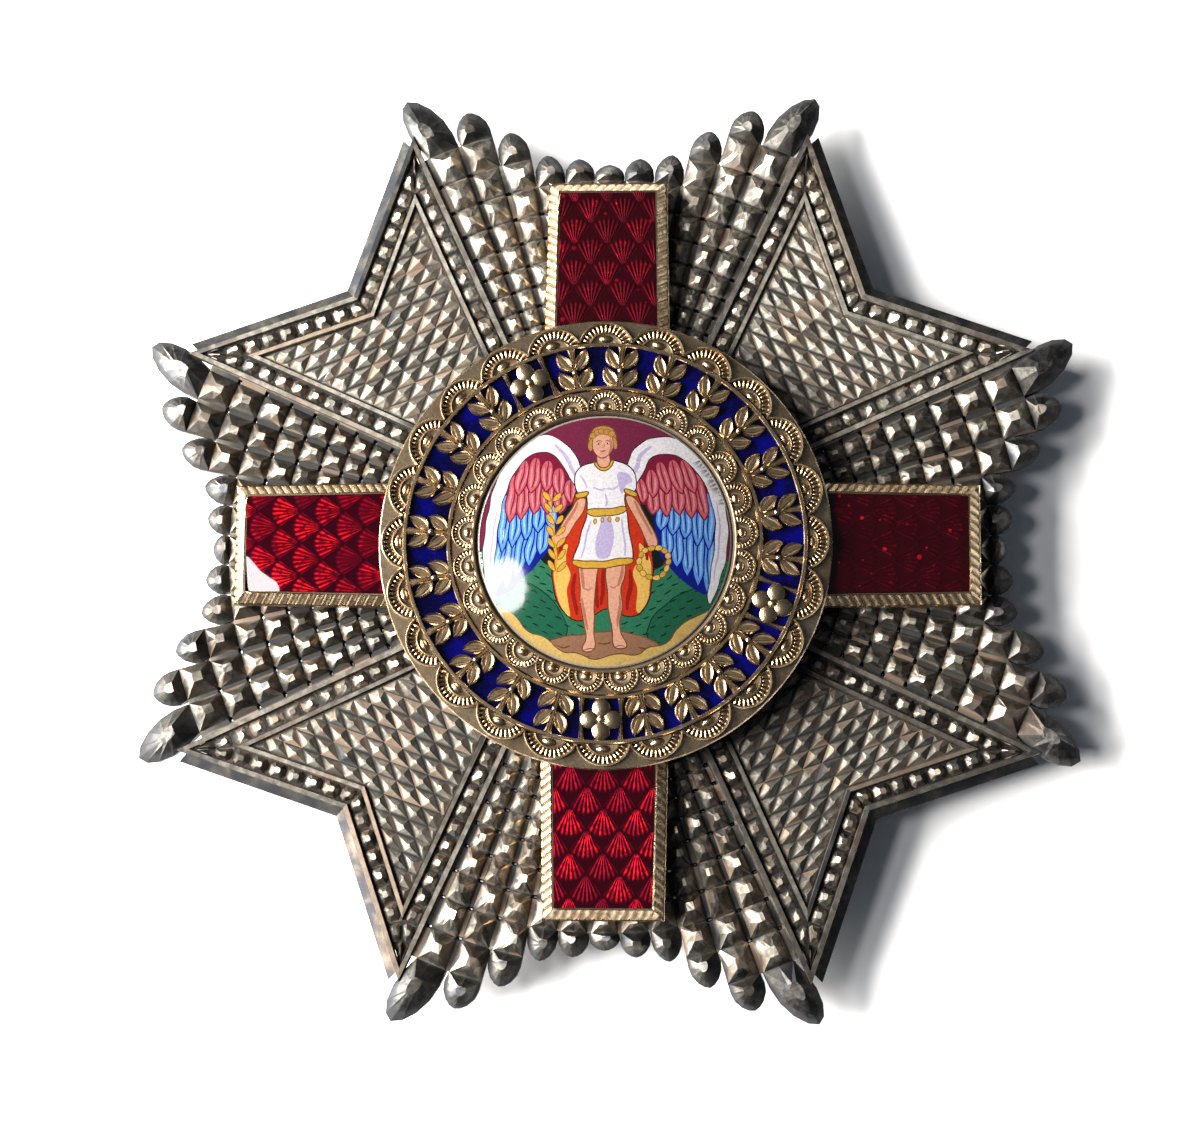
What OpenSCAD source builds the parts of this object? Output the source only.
// Breast star: a pierced and faceted silver star of four ray fans and four chequered
// corner panels, with a gilt and enamel cross, a gilt medallion and a brooch pin behind.
// Millimetres. The origin is on the floor under the centre, the face looks up along +Z
// and the star's top is towards +Y.

/* [Rays] */
// Distance from the centre to the tips of the longest rays
tip_r = 46.5; // [45:0.5:50]
// Radius of the outermost groove across the rays
groove_r = 40.45; // [39.5:0.05:41]
// Half of the angle that one fan of rays spans
fan_half_angle = 24.7; // [23.5:0.1:26]
// Height of a ray's crest as a share of the ray's width
crest_share = 0.3; // [0.2:0.01:0.4]
// Width of the square holes pierced where the grooves cross
pierce_w = 0.5; // [0.3:0.05:0.7]

/* [Plate] */
// Thickness of the silver plate under the grooves
plate_t = 0.9; // [0.7:0.05:1.4]
// Rise of the plate from the ray tips to the centre
dome_h = 2.8; // [1.5:0.1:3.5]
// Height of the ray tips' underside above the floor
lift = 3.4; // [2.8:0.1:4.5]

/* [Corner panels] */
// Radius of the inner corner of the V notch
notch_r = 34.3; // [33:0.1:36]
// Radius of a panel's outer points
point_r = 43.3; // [42:0.1:44]
// Angle from a panel's middle line to its outer points
point_angle = 18.46; // [17.5:0.02:19]
// Width of the bevel along the notch
bevel_w = 0.85; // [0.5:0.05:1.1]
// Drop of the bevel at the edge
bevel_drop = 0.35; // [0.15:0.05:0.5]
// Width of a panel's raised lines
line_w = 0.6; // [0.4:0.05:0.8]
// Height of a panel's raised lines
line_h = 0.42; // [0.2:0.02:0.6]
// Distance between the beads
bead_pitch = 1.64; // [1.4:0.02:2]
// Diameter of a bead
bead_d = 1.24; // [0.8:0.02:1.3]
// Height of a bead
bead_h = 0.6; // [0.3:0.05:0.8]
// Distance between the grooves of the chequered field
chequer_pitch = 1.45; // [1.2:0.05:2]
// Height of the field's small pyramids
chequer_h = 0.42; // [0.2:0.02:0.6]

/* [Cross] */
// Distance from the centre to the ends of the arms
arm_r = 33.5; // [31.5:0.1:34.2]
// Width of an arm at its end
arm_end_w = 10.8; // [9:0.1:12]
// Width of an arm where the medallion covers it
arm_root_w = 11.3; // [9:0.1:12]
// Width of the raised border round the enamel
border_w = 1.1; // [0.8:0.05:1.5]
// Height of the cross from its underside to the top of its border
arm_h = 2; // [1.7:0.1:2.6]
// Height of the cross's outer edge, below its sloping border
arm_edge_h = 1.2; // [0.8:0.05:1.5]
// Depth of the trays that hold the enamel
tray_depth = 0.9; // [0.6:0.05:1.2]
// Crown of the enamel above the border
enamel_crown = 0.15; // [0.05:0.05:0.3]

/* [Medallion] */
// Radius of the medallion's plain disc
disc_r = 20.3; // [19.8:0.1:21]
// Thickness of the medallion's plain disc
disc_t = 0.6; // [0.4:0.05:1]
// Radius over the outer scallops
outer_rim_r = 20.05; // [19.6:0.05:20.3]
// Radius of the valleys between the outer scallops
outer_valley_r = 18.5; // [18.4:0.05:19]
// Scallops round the outer rim
outer_scallops = 24; // [20:1:28]
// Height of the outer scallops above the disc
outer_rim_h = 0.75; // [0.5:0.05:1.2]
// Radius of the seam inside the outer scallops
seam_r = 18.1; // [17.6:0.05:18.3]
// Radius of the openwork band's inner edge
band_inner_r = 13.75; // [13.6:0.05:14.2]
// Height of the enamel under the band, above the disc
blue_h = 0.45; // [0.3:0.05:0.8]
// Thickness of the openwork band
band_t = 0.42; // [0.3:0.02:0.6]
// Width of the band's two edges
band_edge_w = 0.34; // [0.25:0.01:0.5]
// Radius over the inner scallops
inner_rim_r = 13.5; // [13:0.05:13.6]
// Radius of the valleys between the inner scallops
inner_valley_r = 12.35; // [12.1:0.05:12.6]
// Scallops round the inner rim
inner_scallops = 25; // [20:1:28]
// Height of the inner scallops above the disc
inner_rim_h = 1.1; // [0.8:0.05:1.5]
// Radius of the opening round the picture
picture_r = 11.45; // [11:0.05:11.8]
// Height of the picture's edge above the disc
picture_edge_h = 0.75; // [0.5:0.05:1.2]
// Crown of the picture from its edge to its middle
picture_crown = 1.5; // [0.8:0.1:2.2]

/* [Brooch pin] */
// Distance between the middles of the hinge block and the catch block
pin_span = 39; // [34:0.5:44]
// Width of the two blocks, across the pin
block_w = 10; // [8:0.5:14]
// Length of each block along the pin
block_l = 6; // [4:0.5:8]
// Diameter of the pin
pin_d = 1.4; // [1:0.1:1.8]
// Height of the pin's middle above the floor
pin_z = 1.7; // [1.2:0.1:2.2]

/* [Hidden] */
silver = "#8d877c";
gilt = "#b49058";
red = "#a80f1c";
blue = "#120a78";

// Clearance between separate pieces
gap = 0.03;
// Depth that joined solids share
sunk = 0.3;
// Quarter turns that carry one fan, arm or panel to the next
quarters = [0, 90, 180, 270];

// Rays, counted from 0 on one side of the fan to the last on the other side
rays = 11;
middle_ray = (rays - 1) / 2;
ray_pitch = 2 * fan_half_angle / rays;
// Tip radius as a share of tip_r, from the middle ray to the outermost one
tip_shares = [0.776, 0.791, 0.806, 0.869, 0.933, 1];
// Lean of the outermost tips towards the panel, as a share of the ray pitch
tip_lean = 0.39;
// Each row of the rays is as long as it is wide, so the rows shrink by one ratio
row_ratio = (1 - PI * ray_pitch / 360) / (1 + PI * ray_pitch / 360);
rows = 9;
// Height at the middle of a cross groove, as a share of the crest
groove_share = 0.5;
// Steps along a tip: share of its length, share of its half width
tip_steps = [[0.35, 1.02], [0.68, 0.84], [0.9, 0.46]];
leaf_steps = [[0.3, 1.16], [0.62, 0.98], [0.88, 0.56]];
// Shortest tip, as a share of the ray's width
tip_least = 0.4;
// Grooves between rays, counted from a fan's side, that are pierced down to the last row
pierced_lines = [1, 2];
pierced_last = 8;

function off_middle(j) = abs(j - middle_ray);
function row_r(m) = groove_r * pow(row_ratio, m);
function ray_w(r) = 2 * r * tan(ray_pitch / 2);
function edge_angle(b) = (b - rays / 2) * ray_pitch;
function ray_angle(j) = (j - middle_ray) * ray_pitch;
function ray_tip_r(j) = tip_r * tip_shares[off_middle(j)];
function first_row(j) =
    [for (m = [0 : rows]) if (ray_tip_r(j) - row_r(m) > tip_least * ray_w(row_r(m))) m][0];
function at(r, angle, z) = [r * sin(angle), r * cos(angle), z];

// Half width of an arm at a distance from the centre
function arm_half_w(r) = arm_root_w / 2
    + (arm_end_w - arm_root_w) / 2 * (r - disc_r) / (arm_r - disc_r);
// A cell that an arm covers stays flat
function covered(j, m) = row_r(m) < arm_r
    && row_r(m) * sin((off_middle(j) + 0.5) * ray_pitch) < arm_half_w(row_r(m));
function crest(j, m) = covered(j, m) ? 0 : crest_share * ray_w(row_r(m));

// The plate is a low pyramid: each fan and each panel is flat and slopes from the middle
groove_z = lift + plate_t;
panel_half_angle = 45 - fan_half_angle;
fan_slope = dome_h / (tip_r * cos(fan_half_angle));
panel_slope = dome_h / (tip_r * cos(panel_half_angle));
fan_foot_r = row_r(rows);
core_r = fan_foot_r + 0.25;

module sloped(slope, drop) {
    multmatrix([[1, 0, 0, 0], [0, 1, 0, 0], [0, -slope, 1, groove_z + dome_h - drop],
                [0, 0, 0, 1]])
        children();
}

// Corners of a tip's outline, from the ray's low side over the point to its high side
function tip_side(j, side, steps) = let (
    root = row_r(first_row(j)),
    length = ray_tip_r(j) - root,
    half = ray_w(root) / 2,
    lean = off_middle(j) == middle_ray ? sign(j - middle_ray) * tip_lean * ray_pitch : 0)
    [for (s = steps) let (r = root + s[0] * length)
        at(r, ray_angle(j) + lean * s[0] + side * atan(s[1] * half / r), 0)];
function reversed(list) = [for (i = [len(list) - 1 : -1 : 0]) list[i]];
function tip_outline(j) = let (
    steps = off_middle(j) == middle_ray ? leaf_steps : tip_steps,
    lean = off_middle(j) == middle_ray ? sign(j - middle_ray) * tip_lean * ray_pitch : 0)
    concat(tip_side(j, -1, steps), [at(ray_tip_r(j), ray_angle(j) + lean, 0)],
           reversed(tip_side(j, 1, steps)));
tip_corners = 2 * len(tip_steps) + 1;

// Points of one fan: groove crossings, groove middles, cell crests, tip crests, outlines
crossings = [for (b = [0 : rays]) for (m = [0 : rows]) at(row_r(m), edge_angle(b), 0)];
middles = [for (j = [0 : rays - 1]) for (m = [0 : rows])
    at(row_r(m), ray_angle(j), groove_share * crest(j, m))];
crests = [for (j = [0 : rays - 1]) for (m = [0 : rows])
    at(row_r(m + 0.5), ray_angle(j), crest(j, m))];
tip_crests = [for (j = [0 : rays - 1]) let (root = row_r(first_row(j)))
    at(root + 0.4 * (ray_tip_r(j) - root), ray_angle(j), crest_share * ray_w(root))];
outlines = [for (j = [0 : rays - 1]) for (p = tip_outline(j)) p];
// A pierced crossing is a square hole with its corners on the four grooves
pierce_half = pierce_w / sqrt(2);
function hole_corner(b, m, way) = let (
    right = b < rays ? crest(b, m) : 0,
    left = b > 0 ? crest(b - 1, m) : 0,
    turn = atan(pierce_half / row_r(m)),
    climb = groove_share * pierce_half / (ray_w(row_r(m)) / 2))
    way == 0 ? at(row_r(m) + pierce_half, edge_angle(b), 0) :
    way == 1 ? at(row_r(m), edge_angle(b) + turn, climb * right) :
    way == 2 ? at(row_r(m) - pierce_half, edge_angle(b), 0) :
    at(row_r(m), edge_angle(b) - turn, climb * left);
hole_corners = [for (b = [0 : rays]) for (m = [0 : rows]) for (way = [0 : 3])
    hole_corner(b, m, way)];
fan_top = concat(crossings, middles, crests, tip_crests, outlines, hole_corners);
fan_points = concat(fan_top, [for (p = fan_top) [p.x, p.y, -plate_t]]);
under = len(fan_top);

per_line = rows + 1;
middles_at = len(crossings);
crests_at = middles_at + len(middles);
tips_at = crests_at + len(crests);
outlines_at = tips_at + len(tip_crests);
holes_at = outlines_at + len(outlines);
function crossing(b, m) = b * per_line + m;
function middle(j, m) = middles_at + j * per_line + m;
function crest_point(j, m) = crests_at + j * per_line + m;
function outline_run(j) = [for (k = [0 : tip_corners - 1]) outlines_at + j * tip_corners + k];

function is_pierced(b, m) = m <= pierced_last
    && len([for (line = pierced_lines) if (b == line || b == rays - line) 1]) > 0
    && m > max(first_row(b - 1), first_row(b));
function hole_point(b, m, way) = holes_at + (b * per_line + m) * 4 + way;
// A crossing in a loop, or the two corners that its hole leaves of it
function turn_at(b, m, way_in, way_out) = is_pierced(b, m)
    ? [hole_point(b, m, way_in), hole_point(b, m, way_out)] : [crossing(b, m)];

// The middle of a groove is a corner of its cells, except between two flat ones
function has_middle(j, m) = m == rows || m == first_row(j)
    || !covered(j, m) || !covered(j, m - 1);
// Loop round a cell, clockwise from above; the underside has no middles but at the foot
function cell_loop(j, m, above) = concat(
    turn_at(j, m, 2, 1),
    above && has_middle(j, m) ? [middle(j, m)] : [],
    turn_at(j + 1, m, 3, 2),
    turn_at(j + 1, m + 1, 0, 3),
    (above && has_middle(j, m + 1)) || m == rows - 1 ? [middle(j, m + 1)] : [],
    turn_at(j, m + 1, 1, 0));
function tip_loop(j, mid) = let (m = first_row(j)) concat(
    [crossing(j, m)], outline_run(j), [crossing(j + 1, m)], mid ? [middle(j, m)] : []);
function is_cell(j, m) = m >= first_row(j) && m < rows;
function round_crest(top, loop) = [for (i = [0 : len(loop) - 1])
    [top, loop[i], loop[(i + 1) % len(loop)]]];
function below(loop) = [for (i = [len(loop) - 1 : -1 : 0]) loop[i] + under];

cells = [for (j = [0 : rays - 1]) for (m = [0 : rows - 1]) if (is_cell(j, m)) [j, m]];
cell_faces = [for (c = cells) let (loop = cell_loop(c[0], c[1], true))
    each covered(c[0], c[1]) ? [loop] : round_crest(crest_point(c[0], c[1]), loop)];
tip_faces = [for (j = [0 : rays - 1]) each round_crest(tips_at + j, tip_loop(j, true))];
hole_faces = [for (b = [1 : rays - 1]) for (m = [1 : rows - 1]) if (is_pierced(b, m))
    for (way = [0 : 3]) let (a = hole_point(b, m, way), c = hole_point(b, m, (way + 1) % 4))
        [a, c, c + under, a + under]];
under_faces = concat(
    [for (c = cells) below(cell_loop(c[0], c[1], false))],
    [for (j = [0 : rays - 1]) below(tip_loop(j, false))]);
// The rim of a fan, once round it
function steps_between(b, m0, m1) = m0 == m1 ? [] :
    [for (m = [m0 : sign(m1 - m0) : m1]) if (m != m0 && m != m1) crossing(b, m)];
fan_rim = concat(
    [for (m = [rows : -1 : first_row(0) + 1]) crossing(0, m)],
    [for (j = [0 : rays - 1])
        let (m = first_row(j), next = j < rays - 1 ? first_row(j + 1) : rows)
            each concat([crossing(j, m)], outline_run(j),
                m == next ? [] : [crossing(j + 1, m)], steps_between(j + 1, m, next))],
    [for (j = [rays - 1 : -1 : 0]) each [crossing(j + 1, rows), middle(j, rows)]]);
fan_walls = [for (i = [0 : len(fan_rim) - 1]) let (
    a = fan_rim[i],
    b = fan_rim[(i + 1) % len(fan_rim)])
    [b, a, a + under, b + under]];

module fan() {
    polyhedron(fan_points, concat(cell_faces, tip_faces, hole_faces, fan_walls, under_faces));
}

// A panel's middle line lies along +Y. Its sides are lines at a distance inside the fan's
// edge, and its notch lines are at a distance inside the notch.
point_xy = [point_r * sin(point_angle), point_r * cos(point_angle)];
notch_angle = atan2(point_xy.x, point_xy.y - notch_r);
side_n = [cos(panel_half_angle), -sin(panel_half_angle)];
notch_n = [-cos(notch_angle), sin(notch_angle)];
// Where the side line at distance d meets the notch line at distance e
function corner_of(d, e) = let (
    c = -d,
    f = notch_n.y * notch_r - e,
    det = side_n.x * notch_n.y - side_n.y * notch_n.x)
    [(c * notch_n.y - side_n.y * f) / det, (side_n.x * f - c * notch_n.x) / det];
// Where the side line at distance d meets a line across the panel
function side_at(d, y) = [(-d - side_n.y * y) / side_n.x, y];
function notch_middle(e) = [0, notch_r - e / notch_n.y];
panel_y = (fan_foot_r - 0.15) * cos(panel_half_angle);
// The panels run on under the fans' edges, a little lower above and a little higher below
panel_drop = 0.04;
// The layers of a panel end one behind the other under the medallion
slab_y = panel_y - 0.3;
field_y = panel_y - 0.1;
line_y = panel_y + 0.15;
panel_t = plate_t - 2.5 * panel_drop;

// Where a panel's side leaves the edge ray for its point
root_y = groove_r * cos(panel_half_angle);

// Distances of the raised lines and bead rows inside the fan's edge and inside the notch
edge_strip = 0.25;
bead_room = 0.1;
side_line = edge_strip + line_w / 2;
side_bead = side_line + line_w / 2 + gap + bead_d / 2 + bead_room;
side_line_2 = side_bead + bead_d / 2 + bead_room + line_w / 2;
notch_line = bevel_w + line_w / 2;
notch_bead = notch_line + line_w / 2 + gap + bead_d / 2 + bead_room;
notch_line_2 = notch_bead + bead_d / 2 + bead_room + line_w / 2;
field_gap = line_w / 2 + 0.2;

module raised_line(from, to) {
    hull()
        for (p = [from, to])
            translate([p.x, p.y, -sunk])
                cylinder(d1 = line_w + 0.2, d2 = line_w / 2, h = sunk + line_h, $fn = 4);
}

// One side of a panel: its half of the floor with the bevel, its lines and its beads
module panel_half() {
    hull() {
        translate([0, 0, -panel_t + gap])
            linear_extrude(panel_t - gap - bevel_drop)
                polygon([[0, panel_y], side_at(-sunk, panel_y), side_at(-sunk, root_y),
                         point_xy, [0, notch_r]]);
        translate([0, 0, -panel_t + gap])
            linear_extrude(panel_t - gap)
                polygon([[0, panel_y], side_at(-sunk, panel_y), corner_of(-sunk, bevel_w),
                         notch_middle(bevel_w)]);
    }
    raised_line(side_at(side_line, line_y), corner_of(side_line, notch_line));
    raised_line(corner_of(side_line, notch_line), notch_middle(notch_line));
    raised_line(side_at(side_line_2, line_y), corner_of(side_line_2, notch_line_2));
    raised_line(corner_of(side_line_2, notch_line_2), notch_middle(notch_line_2));
    bead_row(corner_of(side_bead, notch_bead), side_at(side_bead, line_y), 0);
    bead_row(corner_of(side_bead, notch_bead), notch_middle(notch_bead), 1);
}

// Faceted beads from one point towards another; first 0 starts at the point, 1 after it
module bead_row(from, to, first) {
    way = to - from;
    count = floor(norm(way) / bead_pitch);
    for (i = [first : count])
        translate([each from + way * i * bead_pitch / norm(way), -gap])
            cylinder(d1 = bead_d, d2 = 0, h = bead_h + gap, $fn = 5);
}

// The chequered field: grooves parallel to the two notch lines leave rhombic pyramids
field_side = chequer_pitch / sin(2 * notch_angle);
step_right = field_side * [sin(notch_angle), cos(notch_angle)];
step_left = field_side * [-sin(notch_angle), cos(notch_angle)];
field_top = notch_middle(notch_line_2 + field_gap);
field_low = chequer_h * 0.15;
// Cells from the top of the field outwards to its corners and inwards to its foot
field_out = ceil(norm(field_corner(1) - field_top) / field_side) + 1;
field_in = ceil((field_top.y - panel_y) / step_right.y) + 1;
field_n = field_out + field_in;
// The outermost pyramids are cut short by the lines round the field
field_cut = 0.3;
function field_point(i, k, z) = [each field_top
    - (i - field_out - field_cut) * step_right - (k - field_out - field_cut) * step_left, z];
function field_spot(i, k) = i * (field_n + 1) + k;
field_points = concat(
    [for (i = [0 : field_n]) for (k = [0 : field_n]) field_point(i, k, field_low)],
    [for (i = [0 : field_n]) for (k = [0 : field_n]) field_point(i + 0.5, k + 0.5, chequer_h)],
    [for (c = [[0, 0], [field_n, 0], [field_n, field_n], [0, field_n]])
        field_point(c[0], c[1], -sunk)]);
field_crests = (field_n + 1) * (field_n + 1);
field_foot = 2 * field_crests;
field_faces = concat(
    [for (i = [0 : field_n - 1]) for (k = [0 : field_n - 1]) each round_crest(
        field_crests + field_spot(i, k),
        [field_spot(i, k), field_spot(i, k + 1), field_spot(i + 1, k + 1), field_spot(i + 1, k)])],
    [[field_foot, field_foot + 1, field_foot + 2, field_foot + 3]],
    [concat([field_foot + 1, field_foot], [for (i = [0 : field_n]) field_spot(i, 0)])],
    [concat([field_foot + 2, field_foot + 1], [for (k = [0 : field_n]) field_spot(field_n, k)])],
    [concat([field_foot + 3, field_foot + 2],
            [for (i = [field_n : -1 : 0]) field_spot(i, field_n)])],
    [concat([field_foot, field_foot + 3], [for (k = [field_n : -1 : 0]) field_spot(0, k)])]);

module panel() {
    translate([0, 0, -panel_t])
        linear_extrude(panel_t - bevel_drop - gap)
            polygon([side_at(-sunk, slab_y), side_at(-sunk, root_y), point_xy,
                     [0, notch_r], [-point_xy.x, point_xy.y],
                     [-side_at(-sunk, root_y).x, root_y],
                     [-side_at(-sunk, slab_y).x, slab_y]]);
    for (flip = [0, 1])
        mirror([flip, 0, 0])
            panel_half();
    intersection() {
        polyhedron(field_points, field_faces);
        translate([0, 0, -sunk / 2])
            linear_extrude(sunk + chequer_h)
                polygon([field_corner(1), field_top, field_corner(-1), field_end(-1),
                         field_end(1)]);
    }
}

function field_corner(side) = let (
    c = corner_of(side_line_2 + field_gap, notch_line_2 + field_gap)) [side * c.x, c.y];
function field_end(side) = [side * side_at(side_line_2 + field_gap, field_y).x, field_y];

module star_body() {
    color(silver) {
        for (q = quarters) {
            rotate(q)
                sloped(fan_slope, 0)
                    fan();
            rotate(q + 45)
                sloped(panel_slope, panel_drop)
                    panel();
        }
        translate([0, 0, core_bottom])
            cylinder(r = core_r, h = plate_t - 0.1, $fn = 48);
    }
}
core_bottom = lift + dome_h - fan_slope * core_r + 0.05;

// The cross lies on the crests of the rays beside its arms
cross_z = groove_z + dome_h - fan_slope * core_r + crest_share * ray_w(core_r) + 2 * gap;
border_z = cross_z + arm_h;
hub_r = disc_r - 0.7;
// The enamel starts under the medallion's edge
enamel_root = hub_r - 1;

// Level strip inside the border's slope, beside the enamel
border_lip = 0.2;

// Outline of an arm that points along +Y, with its sides moved in by inset
module arm_shape(root, inset) {
    polygon([[arm_half_w(root) - inset, root], [arm_half_w(arm_r) - inset, arm_r - inset],
             [-arm_half_w(arm_r) + inset, arm_r - inset], [-arm_half_w(root) + inset, root]]);
}

// An arm with its border sloping from the lip down to the outer edge
module arm_block() {
    hull() {
        linear_extrude(arm_edge_h)
            arm_shape(hub_r / 2, 0);
        linear_extrude(arm_h)
            arm_shape(hub_r / 2, border_w - border_lip);
    }
}

module cross_frame() {
    color(gilt)
        translate([0, 0, cross_z])
            difference() {
                union() {
                    cylinder(r = hub_r, h = arm_h, $fn = 96);
                    for (q = quarters)
                        rotate(q)
                            arm_block();
                }
                for (q = quarters)
                    rotate(q)
                        translate([0, 0, arm_h - tray_depth])
                            linear_extrude(tray_depth + 1)
                                arm_shape(enamel_root, border_w);
            }
}

module enamel() {
    color(red)
        translate([0, 0, border_z - tray_depth + gap])
            hull() {
                linear_extrude(tray_depth - 2 * gap)
                    intersection() {
                        arm_shape(enamel_root + gap, border_w + gap);
                        translate([-arm_root_w, enamel_root + gap])
                            square([2 * arm_root_w, arm_r]);
                    }
                translate([0, 0, tray_depth - 2 * gap])
                    linear_extrude(enamel_crown)
                        arm_shape(disc_r + 0.6, border_w + 0.6);
            }
}
module enamel_north() { enamel(); }
module enamel_east() { rotate(-90) enamel(); }
module enamel_south() { rotate(180) enamel(); }
module enamel_west() { rotate(90) enamel(); }

// The medallion stands on the hub and on the enamel's crown just inside its edge
disc_z = border_z + gap;
face_z = disc_z + disc_t;

// Radius of the arc of one scallop from its top and its valleys
function scallop_radius(top_r, valley_r, count) = let (
    half_chord = valley_r * sin(180 / count),
    rise = top_r - valley_r * cos(180 / count))
    (half_chord * half_chord + rise * rise) / (2 * rise);

// A ring with scallops outside and a round bead at the foot of each scallop
module scalloped_ring(top_r, valley_r, count, hole_r, h) {
    arc_r = scallop_radius(top_r, valley_r, count);
    bead_r = (top_r - hole_r) * 0.24;
    difference() {
        union() {
            cylinder(r = valley_r - sunk, h = h, $fn = 96);
            for (i = [0 : count - 1])
                rotate(360 / count * i)
                    translate([0, top_r - arc_r, 0])
                        cylinder(r = arc_r, h = h, $fn = 48);
        }
        translate([0, 0, -1])
            cylinder(r = hole_r, h = h + 2, $fn = 96);
    }
    for (i = [0 : count - 1])
        rotate(360 / count * i)
            translate([0, hole_r + bead_r * 1.3, h])
                sphere(r = bead_r, $fn = 24);
}

module medallion_rim() {
    color(gilt) {
        translate([0, 0, disc_z])
            cylinder(r = disc_r, h = disc_t, $fn = 96);
        translate([0, 0, face_z - 0.1])
            scalloped_ring(outer_rim_r, outer_valley_r, outer_scallops, seam_r, outer_rim_h + 0.1);
    }
}

module blue_enamel() {
    color(blue)
        translate([0, 0, face_z + gap])
            difference() {
                cylinder(r = seam_r - gap, h = blue_h - gap, $fn = 96);
                translate([0, 0, -1])
                    cylinder(r = band_inner_r, h = blue_h + 2, $fn = 96);
            }
}

// The openwork band: two edges, three flowers and upright leaf sprays between them
band_outer_r = seam_r - 2 * gap;
band_z = face_z + blue_h + gap;
band_mid_r = (band_inner_r + band_outer_r) / 2;
band_rise = band_outer_r - band_inner_r;
// Angle of each flower clockwise from the top, and the sprays that follow it
flowers = [[-25.3, 8], [110.6, 4], [180.7, 9]];
petal_r = band_rise * 0.2;
// Half width of a spray's two leaves, and the width of its strokes
spray_half_w = band_rise * 0.36;
stroke_w = band_rise * 0.11;
leaf_turns = 8;

// One leaf of a spray: a curved stroke that narrows from the band's foot to its top edge
function leaf_xy(side, t, half) = let (bow = sin(150 * t))
    [side * (spray_half_w * bow + half * (1 - t)),
     band_inner_r + band_edge_w / 2 + (band_rise - band_edge_w) * t];
module leaf(side) {
    polygon(concat([for (i = [0 : leaf_turns]) leaf_xy(side, i / leaf_turns, stroke_w / 2)],
                   [for (i = [leaf_turns : -1 : 0]) leaf_xy(side, i / leaf_turns, -stroke_w / 2)]));
}

module spray() {
    linear_extrude(band_t)
        leaf(1);
    linear_extrude(band_t)
        leaf(-1);
    translate([-stroke_w / 2, band_inner_r + band_edge_w / 2, 0])
        cube([stroke_w, band_rise - band_edge_w, band_t]);
}

module flower() {
    for (q = quarters)
        translate([0, band_mid_r, 0])
            rotate(q)
                translate([0, petal_r * 1.25, 0])
                    cylinder(r = petal_r, h = band_t + 0.1, $fn = 32);
    translate([0, band_mid_r, 0])
        cylinder(r = petal_r * 0.7, h = band_t + 0.2, $fn = 32);
}

module ring(outer, inner, h) {
    difference() {
        cylinder(r = outer, h = h, $fn = 96);
        translate([0, 0, -1])
            cylinder(r = inner, h = h + 2, $fn = 96);
    }
}

module band() {
    color(gilt)
        translate([0, 0, band_z]) {
            ring(band_outer_r, band_outer_r - band_edge_w, band_t);
            ring(band_inner_r + band_edge_w, band_inner_r + gap, band_t);
            for (f = [0 : len(flowers) - 1]) {
                start = flowers[f][0];
                end = flowers[(f + 1) % len(flowers)][0] + (f == len(flowers) - 1 ? 360 : 0);
                slots = flowers[f][1] + 1;
                rotate(-start)
                    flower();
                for (i = [1 : slots - 1])
                    rotate(-start - (end - start) * i / slots)
                        spray();
            }
        }
}

module inner_rim() {
    color(gilt)
        translate([0, 0, face_z + gap])
            scalloped_ring(inner_rim_r, inner_valley_r, inner_scallops, picture_r,
                           inner_rim_h - gap);
}

// The picture is a low dome of enamel inside the inner rim
picture_edge_r = picture_r - 0.1;
dome_r = (picture_edge_r * picture_edge_r + picture_crown * picture_crown) / (2 * picture_crown);
dome_angle = asin(picture_edge_r / dome_r);
dome_turns = 8;
picture_top = picture_edge_h + picture_crown;
picture_arc = [for (i = [0 : dome_turns]) let (a = dome_angle * (1 - i / dome_turns))
    [dome_r * sin(a), picture_top + dome_r * (cos(a) - 1)]];

module picture() {
    color("white")
        translate([0, 0, face_z + gap])
            rotate_extrude($fn = 96)
                polygon([[0, 0], [picture_edge_r, 0], each picture_arc]);
}

// The brooch pin: a hinge block and a catch block on the plate's back, with the pin between
block_far = pin_span / 2 + block_l / 2;
block_top = lift + dome_h - fan_slope * block_far - 2 * gap;
module brooch_pin() {
    color(silver) {
        for (side = [-1, 1])
            translate([-block_w / 2, side * pin_span / 2 - block_l / 2, 0])
                cube([block_w, block_l, block_top]);
        translate([0, -pin_span / 2, pin_z])
            rotate([-90, 0, 0])
                cylinder(d = pin_d, h = pin_span, $fn = 32);
    }
}

star_body();
cross_frame();
enamel_north();
enamel_east();
enamel_south();
enamel_west();
medallion_rim();
blue_enamel();
band();
inner_rim();
picture();
brooch_pin();
